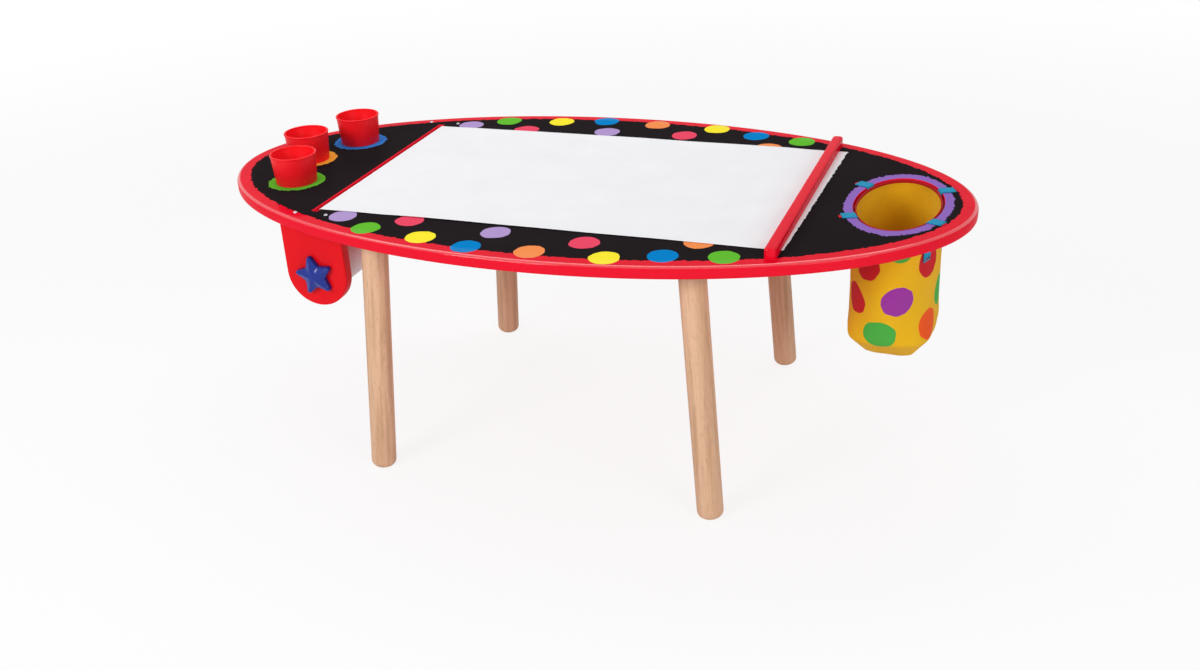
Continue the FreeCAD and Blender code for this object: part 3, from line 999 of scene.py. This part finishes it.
def make_tear_bar(finish):
    """The painted bar over the paper, raised underneath where the paper passes."""
    half = (bar_high.x - bar_low.x) / 2
    outline = round_ended(middle_of("tear_bar")[0], half, bar_high.y, bar_nose_radius)
    outer = bar_room_half + bar_room_step
    stations = []
    for (point, away), (following, _) in zip(outline, outline[1:] + outline[:1]):
        stations.append((point, away))
        if abs(following.y - point.y) > bar_room_half:
            way = copysign(1, following.y - point.y)
            for y in (-outer, -bar_room_half, bar_room_half, outer):
                stations.append((Vector((point.x, way * y)), away))
    profile = [(0, top_z)] + quarter_round(bar_edge_radius, bar_high.z, 1, 8)[::-1]

    def place(point, level):
        if level == top_z and abs(point.y) < bar_room_half + bar_room_step / 2:
            level += bar_paper_room
        return upright(point, level)

    bm = bmesh.new()
    cap_ends(bm, rings_of(bm, stations, profile, place))
    new_piece("tear_bar_painted", bm, "red_paint", finish, stands_for="tear_bar")


def web_path():
    """The paper's line from the roll, up through the slot and along the top, as points of X and Z."""
    lift = paper_gap + paper_thickness / 2
    rise_x = spindle_x + slot_half_width - lift
    bend = Vector((rise_x, under_z - web_bend_drop))
    hub = Vector((spindle_x, spindle_z))
    reach = bend - hub
    turn = atan2(reach.y, reach.x) + acos((roll_radius + lift) / reach.length)
    start = hub + spoke(turn) * (roll_radius + lift)
    corner = Vector((rise_x, top_z + lift))
    end = Vector((bar_high.x, top_z + lift))
    return rounded_path([start, bend, corner, end], [web_bend_radius, slot_edge + lift])


def make_paper(finish):
    """The sheet drawn off the roll, lying loosely on the top, with its end torn along the bar."""
    path = divided(web_path(), paper_run)
    rng = random.Random(7)
    jags = [rng.uniform(-1, 1) for _ in range(paper_columns + 1)]
    bm = bmesh.new()
    rows = []
    for station in path + path[-1:] * tail_rows:
        tail = len(rows) - len(path) + 1
        points = []
        for j, jag in enumerate(jags):
            y = paper_half * (2 * j / paper_columns - 1)
            x, z = station
            if tail > 0:
                reach = tail_front + (tail_rear - tail_front) * j / paper_columns
                reach += torn_jag * jag + torn_wave * noise.noise((0, y * 90, 3.1))
                x += reach * tail / tail_rows
            else:
                loose = portion(x - sheet_low.x - flat_past_slot, slack_rise)
                loose *= portion(bar_low.x - flat_before_bar - x, slack_fall)
                loose = loose * loose * (3 - 2 * loose)
                wave = max(0, noise.noise((x * 7, y * 5, 0.4)) + 0.15)
                edge = max(0, abs(y) / paper_half - 1 + curl_zone) / curl_zone
                curl = edge ** 2 * (0.6 + 0.6 * noise.noise((x * 9, 1.7, 0.2)))
                z += loose * (slack_wave * wave + edge_curl * max(0, curl))
                y += loose * edge * edge_sway * noise.noise((x * 13, copysign(2, y), 0.9))
            points.append((x, y, z))
        rows.append(ring(bm, points))
    join_rings(bm, rows, closed=False)
    sheet = new_piece("drawing_paper", bm, "paper", finish, stands_for="paper_sheet", sharp=80)
    thicken(sheet, paper_thickness, 0)
    length = sum((end - start).length for start, end in zip(path, path[1:]))
    length += (tail_front + tail_rear) / 2


def make_roll(finish):
    """The wound paper, whose layers stand a little proud of each other at the ends."""
    rng = random.Random(21)
    ends = []
    for k in range(roll_layers * 2 + 1):
        radius = core_radius + (roll_radius - core_radius) * k / (roll_layers * 2)
        ends.append((radius, paper_half - (layer_stagger * rng.random() if k % 2 else 0)))
    profile = [(radius, -level) for radius, level in ends]
    profile += [(roll_radius, 0)] + ends[::-1] + [(core_radius, 0), (core_radius, -paper_half)]
    bm = bmesh.new()
    lathe(bm, profile, roll_sides, lambda x, y, level: Vector((spindle_x + x, level, spindle_z + y)))
    bmesh.ops.remove_doubles(bm, verts=bm.verts, dist=1e-6)
    new_piece("wound_paper", bm, "paper", finish, body="roll", stands_for="paper_roll", sharp=50)


# The bag: sections from its mouth down, each a level and two half sizes, before its corners are softened
BAG_SECTIONS = [
    (bag_high.z, bag_half_x, bag_half_y),
    (bag_straight_z, bag_half_x, bag_half_y),
    (bag_taper_z, bag_half_x, bag_half_y - bag_waist_draw),
    (bag_base_z, bag_base_half_x, bag_base_half_y),
]

# The bag's base panel: its lift and wrinkles in millimetres, and rings of a share of its size and a sag
BASE_LIFT, BASE_WRINKLE = 1.5, 1.2
BASE_RINGS = [(0.93, 1.2), (0.8, 1.6), (0.55, 1.0), (0.28, 0.2)]


def bag_profile():
    """The sections with their corners cut back twice, so that the cloth bends softly."""
    line = divided([Vector(section) for section in BAG_SECTIONS], bag_bend_run)
    for _ in range(2):
        soft = [line[0]]
        for start, end in zip(line, line[1:]):
            soft += [start.lerp(end, 0.25), start.lerp(end, 0.75)]
        line = soft + [line[-1]]
    return divided(line, cloth_run)


def bag_point(section, turn):
    """A point on the bag before its folds: oval above and squarer below."""
    level, half_x, half_y = section
    lower = portion(bag_straight_z - level, bag_straight_z - bag_base_z)
    power = 2 / (2 + bag_base_squareness * lower ** 3)
    x = bag_x + half_x * copysign(abs(cos(turn)) ** power, cos(turn))
    y = half_y * copysign(abs(sin(turn)) ** power, sin(turn))
    return Vector((x, y, level))


def bag_sag(point, turn):
    """How far the cloth stands out of its even form: full between the straps, with soft folds below them."""
    strap_away = abs(abs(sin(turn)) - sin(strap_turn)) * bag_half_y
    between = portion(strap_away - strap_hold, strap_hold_fade)
    below_rim = portion(binding_low.z - point.z, rim_fade)
    under_board = portion(under_z - point.z, board_fade)
    spread = below_rim * (bag_gap - bag_hole_room) * (1 - under_board) + bag_fullness * under_board
    below_straps = portion(strap_low_z - point.z, strap_end_fade)
    above_base = portion(point.z - bag_base_z, base_fade)
    full = spread * max(between, below_straps) * above_base
    folds = noise.noise((point.x * 14, point.y * 14, point.z * 7 + 4)) * fold_depth
    folds += sin(turn * gather_count + 2 * noise.noise((point.z * 9, 0, 0))) * gather_depth
    folds += noise.noise((point.x * 34, point.y * 34, point.z * 26)) * crease_depth
    return full + folds * portion(fold_top_z - point.z, fold_length) ** 2


def dot_on_bag(degrees, level):
    """The middle of a dot on the bag, from its bearing and its level."""
    section = min(bag_profile(), key=lambda item: abs(item[0] - level))
    return bag_point(section, radians(degrees))


def make_bag(outside, inside):
    """The hanging bag: a sewn shell of cloth that sags, open at the mouth and closed by a base panel."""
    bm = bmesh.new()
    rings = []
    for section in bag_profile():
        points = []
        for turn in turns(bag_columns):
            point = bag_point(section, turn)
            along = bag_point(section, turn + bag_turn_step) - bag_point(section, turn - bag_turn_step)
            away = Vector((along.y, -along.x, 0)).normalized()
            points.append(point + away * bag_sag(point, turn))
        rings.append(ring(bm, points))
    base = [vertex.co.copy() for vertex in rings[-1]]
    for share, sag in BASE_RINGS:
        points = []
        for spot in base:
            point = Vector((bag_x, 0, spot.z)).lerp(spot, share)
            wrinkle = noise.noise((point.x * 30, point.y * 30, 8)) * BASE_WRINKLE
            point.z += (BASE_LIFT - sag + wrinkle) * MM
            points.append(point)
        rings.append(ring(bm, points))
    join_rings(bm, rings)
    bm.faces.new(rings[-1])
    bag = new_piece("hanging_bag", bm, "yellow_fabric", outside, inside, stands_for="fabric_bag", sharp=70)
    thicken(bag, bag_wall, -1, 1)


def make_binding(finish, thread):
    """The folded tape round the bag's mouth, with its row of stitches."""
    half_wall = (binding_high.x - bag_high.x + binding_wrap) / 2
    half_x, half_y = [half + binding_over - half_wall for half in (bag_half_x, bag_half_y)]
    height = binding_high.z - binding_low.z
    bm = bmesh.new()
    loops = []
    for turn, (point, away) in zip(turns(binding_columns), oval(bag_x, 0, half_x, half_y, binding_columns)):
        pucker = pucker_depth * sin(turn * pucker_count)
        pucker += pucker_drift * noise.noise((point.x * 60, point.y * 60, 0))
        fold = []
        for k in range(binding_parts + 1):
            bend = pi * k / binding_parts
            spot = point + away * (pucker - cos(bend) * half_wall)
            fold.append(upright(spot, binding_low.z + sin(bend) ** 0.6 * height))
        loops.append(ring(bm, fold))
    join_rings(bm, loops + loops[:1])
    new_piece("mouth_binding", bm, "red_fabric", finish, stands_for="bag_binding")
    bm = bmesh.new()
    inner_x, inner_y = [half - half_wall - stitch_sink for half in (half_x, half_y)]
    for point, away in oval(bag_x, 0, inner_x, inner_y, 2 * binding_columns)[1::4]:
        spot = upright(point, binding_low.z + stitch_height)
        stitch(bm, spot, Vector((-away.y, away.x, 0)), stitch_length, stitch_radius)
    new_piece("binding_stitches", bm, "red_fabric", thread)


def strap_frame(corner):
    """Where a strap lies on the bag: its point, the way out of the bag, and the way along the hole."""
    x = copysign(cos(strap_turn), 1 if corner.endswith("right") else -1)
    y = copysign(sin(strap_turn), 1 if corner.startswith("rear") else -1)
    point = Vector((bag_x + bag_half_x * x, bag_half_y * y, 0))
    out = Vector((x / bag_half_x, y / bag_half_y, 0)).normalized()
    return point, out, Vector((-out.y, out.x, 0))


def make_straps(webbing, pile, thread):
    """The four webbing straps, their fastening pads and the tacks that sew them to the bag."""
    pads = bmesh.new()
    tacks = bmesh.new()
    lay_z = top_z + pad_thickness + strap_thickness / 2
    fold = Vector((strap_stand_off, lay_z))
    bends = [Vector((strap_stand_off, strap_low_z)), fold, Vector((bag_gap + strap_tab, lay_z))]
    path = divided(rounded_path(bends, [strap_bend_radius], 8), cloth_run)
    outline = round_ended(0, pad_half_length, pad_half_width, pad_corner, 5)
    pad_profile = [(0, top_z)] + quarter_round(pad_thickness / 2, top_z + pad_thickness, 1, 3)[::-1]
    for number, corner in enumerate(CORNERS):
        point, out, along = strap_frame(corner)
        bm = bmesh.new()
        rows = []
        for u, z in path:
            row = []
            for k in range(-strap_half_columns, strap_half_columns + 1):
                across = k / strap_half_columns
                ripple = strap_ripple * noise.noise((u * 70, z * 40 + number, across))
                hanging = z < top_z
                spot = point + out * (u + ripple * hanging) + along * (across * strap_half_width)
                rise = 0 if hanging else ripple - strap_edge_dip * across ** 4
                row.append(spot + UP * (z + rise))
            rows.append(ring(bm, row))
        join_rings(bm, rows, closed=False)
        node = "bag_strap_" + corner
        strap = new_piece("webbing_strap_" + corner, bm, "blue_webbing", webbing, stands_for=node, sharp=80)
        thicken(strap, strap_thickness, 0)
        middle = point + out * (bag_gap + strap_tab / 2 + pad_half_length)

        def place(spot, level):
            return middle + out * spot.x + along * spot.y + UP * level

        cap_ends(pads, rings_of(pads, outline, pad_profile, place))
        seam = point + out * (strap_stand_off + strap_thickness / 2) + UP * (strap_low_z + tack_height)
        for k in range(-strap_half_columns, strap_half_columns + 1):
            slant = (along * (0.5 if k % 2 else -0.5) + UP).normalized()
            spot = seam + along * (tack_spread * k / strap_half_columns)
            stitch(tacks, spot, slant, tack_length, tack_radius)
    new_piece("fastening_pads", pads, "red_pad", pile, stands_for="strap_pads")
    new_piece("strap_tacks", tacks, "red_fabric", thread)


def dress_cad(finish, *nodes):
    """Give CAD nodes that keep their own shape a finish."""
    for node in nodes:
        for place in frame["nodes"][node].material_slots:
            place.material = finish


def make_screws(finish):
    """Screws through the top into the brackets, through the plates, and up into the bar."""
    brackets = []
    bar = []
    plates = []
    for side, way in SIDES:
        y = middle_of("roll_bracket_" + side)[1]
        for reach in (-bracket_screw_reach, bracket_screw_reach):
            brackets.append((Vector((spindle_x + reach, y, top_z)), UP))
        bar.append((Vector((middle_of("tear_bar")[0], way * (bar_high.y - bar_screw_inset), under_z)), -UP))
    for corner in CORNERS:
        x, y = middle_of("leg_plate_" + corner)
        for reach_x in (-plate_screw_reach, plate_screw_reach):
            for reach_y in (-plate_screw_reach, plate_screw_reach):
                plates.append((Vector((x + reach_x, y + reach_y, under_z - plate_thickness)), -UP))
    screw_heads("bracket_screws", brackets, finish)
    screw_heads("plate_screws", plates, finish)
    screw_heads("bar_screws", bar, finish)


# Stage

IMAGE_WIDTH = 1200
FOCAL_PIXELS = 1301.02
SENSOR_WIDTH = 36
CAMERA_PLACE = Vector((0.77155, -1.95187, 1.19163))
CAMERA_YAW, CAMERA_PITCH, CAMERA_ROLL = -0.369439, 0.459291, -0.054126
FLOOR_GLOW = 0.85
FLOOR_NEAR, FLOOR_FAR, FLOOR_REACH = 1.0, 4.0, 20
SURROUND_LIGHT = 0.38


def place_camera():
    """The photograph's viewpoint."""
    data = bpy.data.cameras.new("photo_view")
    data.sensor_width = SENSOR_WIDTH
    data.lens = FOCAL_PIXELS / IMAGE_WIDTH * SENSOR_WIDTH
    camera = add_object("photo_view", data)
    tilt = Matrix.Rotation(pi / 2 - CAMERA_PITCH, 4, "X") @ Matrix.Rotation(CAMERA_ROLL, 4, "Z")
    camera.matrix_world = Matrix.Translation(CAMERA_PLACE) @ Matrix.Rotation(-CAMERA_YAW, 4, "Z") @ tilt
    bpy.context.scene.camera = camera


def soft_box(name, place, aim, width, height, power):
    """A flat studio light."""
    data = bpy.data.lights.new(name, "AREA")
    data.shape = "RECTANGLE"
    data.size = width
    data.size_y = height
    data.energy = power
    light = add_object(name, data)
    light.location = place
    light.rotation_euler = (Vector(place) - Vector(aim)).to_track_quat("Z", "Y").to_euler()


def make_stage():
    """A pale floor, a white surround and soft studio light."""
    bpy.context.scene.view_settings.view_transform = "Standard"
    floor = Finish("studio_floor")
    floor.surface(Base_Color=rgb(244, 244, 245), Roughness=0.9, Specular_IOR_Level=0.1)
    glow = floor.node("ShaderNodeEmission", {}, {})
    far = floor.step(floor.distance(floor.place, (0, 0, 0)), FLOOR_NEAR, FLOOR_FAR)
    shown = floor.seen_rays() * (FLOOR_GLOW + far * (1 - FLOOR_GLOW))
    matt = Value(floor, floor.shader.outputs[0])
    blend = floor.node("ShaderNodeMixShader", {}, {0: shown, 1: matt, 2: glow})
    floor.feed(floor.nodes["Material Output"], {"Surface": blend})
    mesh = bpy.data.meshes.new("studio_floor")
    corners_of_floor = [(-1, -1, 0), (1, -1, 0), (1, 1, 0), (-1, 1, 0)]
    mesh.from_pydata([Vector(corner) * FLOOR_REACH for corner in corners_of_floor], [], [(0, 1, 2, 3)])
    mesh.materials.append(floor.material)
    add_object("studio_floor", mesh)
    world = bpy.data.worlds.new("studio")
    bpy.context.scene.world = world
    world.use_nodes = True
    surround = Nodes(world.node_tree)
    strength = surround.seen_rays() * (1 - SURROUND_LIGHT) + SURROUND_LIGHT
    surround.feed(surround.nodes["Background"], {"Color": (1, 1, 1, 1), "Strength": strength})
    soft_box("key_light", (-1.3, -2.8, 1.9), aim=(0, 0, 0.4), width=1.2, height=1.2, power=50)
    soft_box("strip_light", (-0.35, 0.5, 2.0), aim=(-0.1, -0.1, 0.45), width=2.8, height=0.7, power=15.5)
    soft_box("fill_light", (2.3, -1.7, 1.4), aim=(0.1, 0, 0.3), width=1.2, height=1.2, power=24)


make_stage()
place_camera()
make_board(printed_top())
make_legs(clear_wood("leg_wood", 2))
make_brackets(red_gloss("bracket_paint", PAINT_RED))
make_tear_bar(red_gloss("bar_paint", BORDER_RED))
make_star_knobs(blue_plastic())
make_cups(red_plastic())
make_paper(white_paper())
make_roll(roll_paper())
steel = zinc_steel()
dress_cad(steel, "hanger_bolts", *["leg_plate_" + corner for corner in CORNERS])
dress_cad(clear_wood("spindle_wood", 1), "spindle")
dress_cad(grey_board(), "core_tube")
make_screws(steel)
dots = [(dot_on_bag(degrees, level * MM), ink) for degrees, level, ink in BAG_DOTS]
make_bag(bag_cloth("dotted_cloth", BAG_YELLOW, dots), bag_cloth("cloth_back", BAG_YELLOW, []))
red_thread = ribbed_tape("red_thread", rgb(140, 16, 26), 0.5 * MM)
make_binding(ribbed_tape("binding_tape", rgb(206, 28, 36), 1.0 * MM), red_thread)
webbing = ribbed_tape("blue_webbing", rgb(36, 168, 214), 1.2 * MM)
make_straps(webbing, loop_pile("loop_pile", rgb(196, 24, 44)), red_thread)
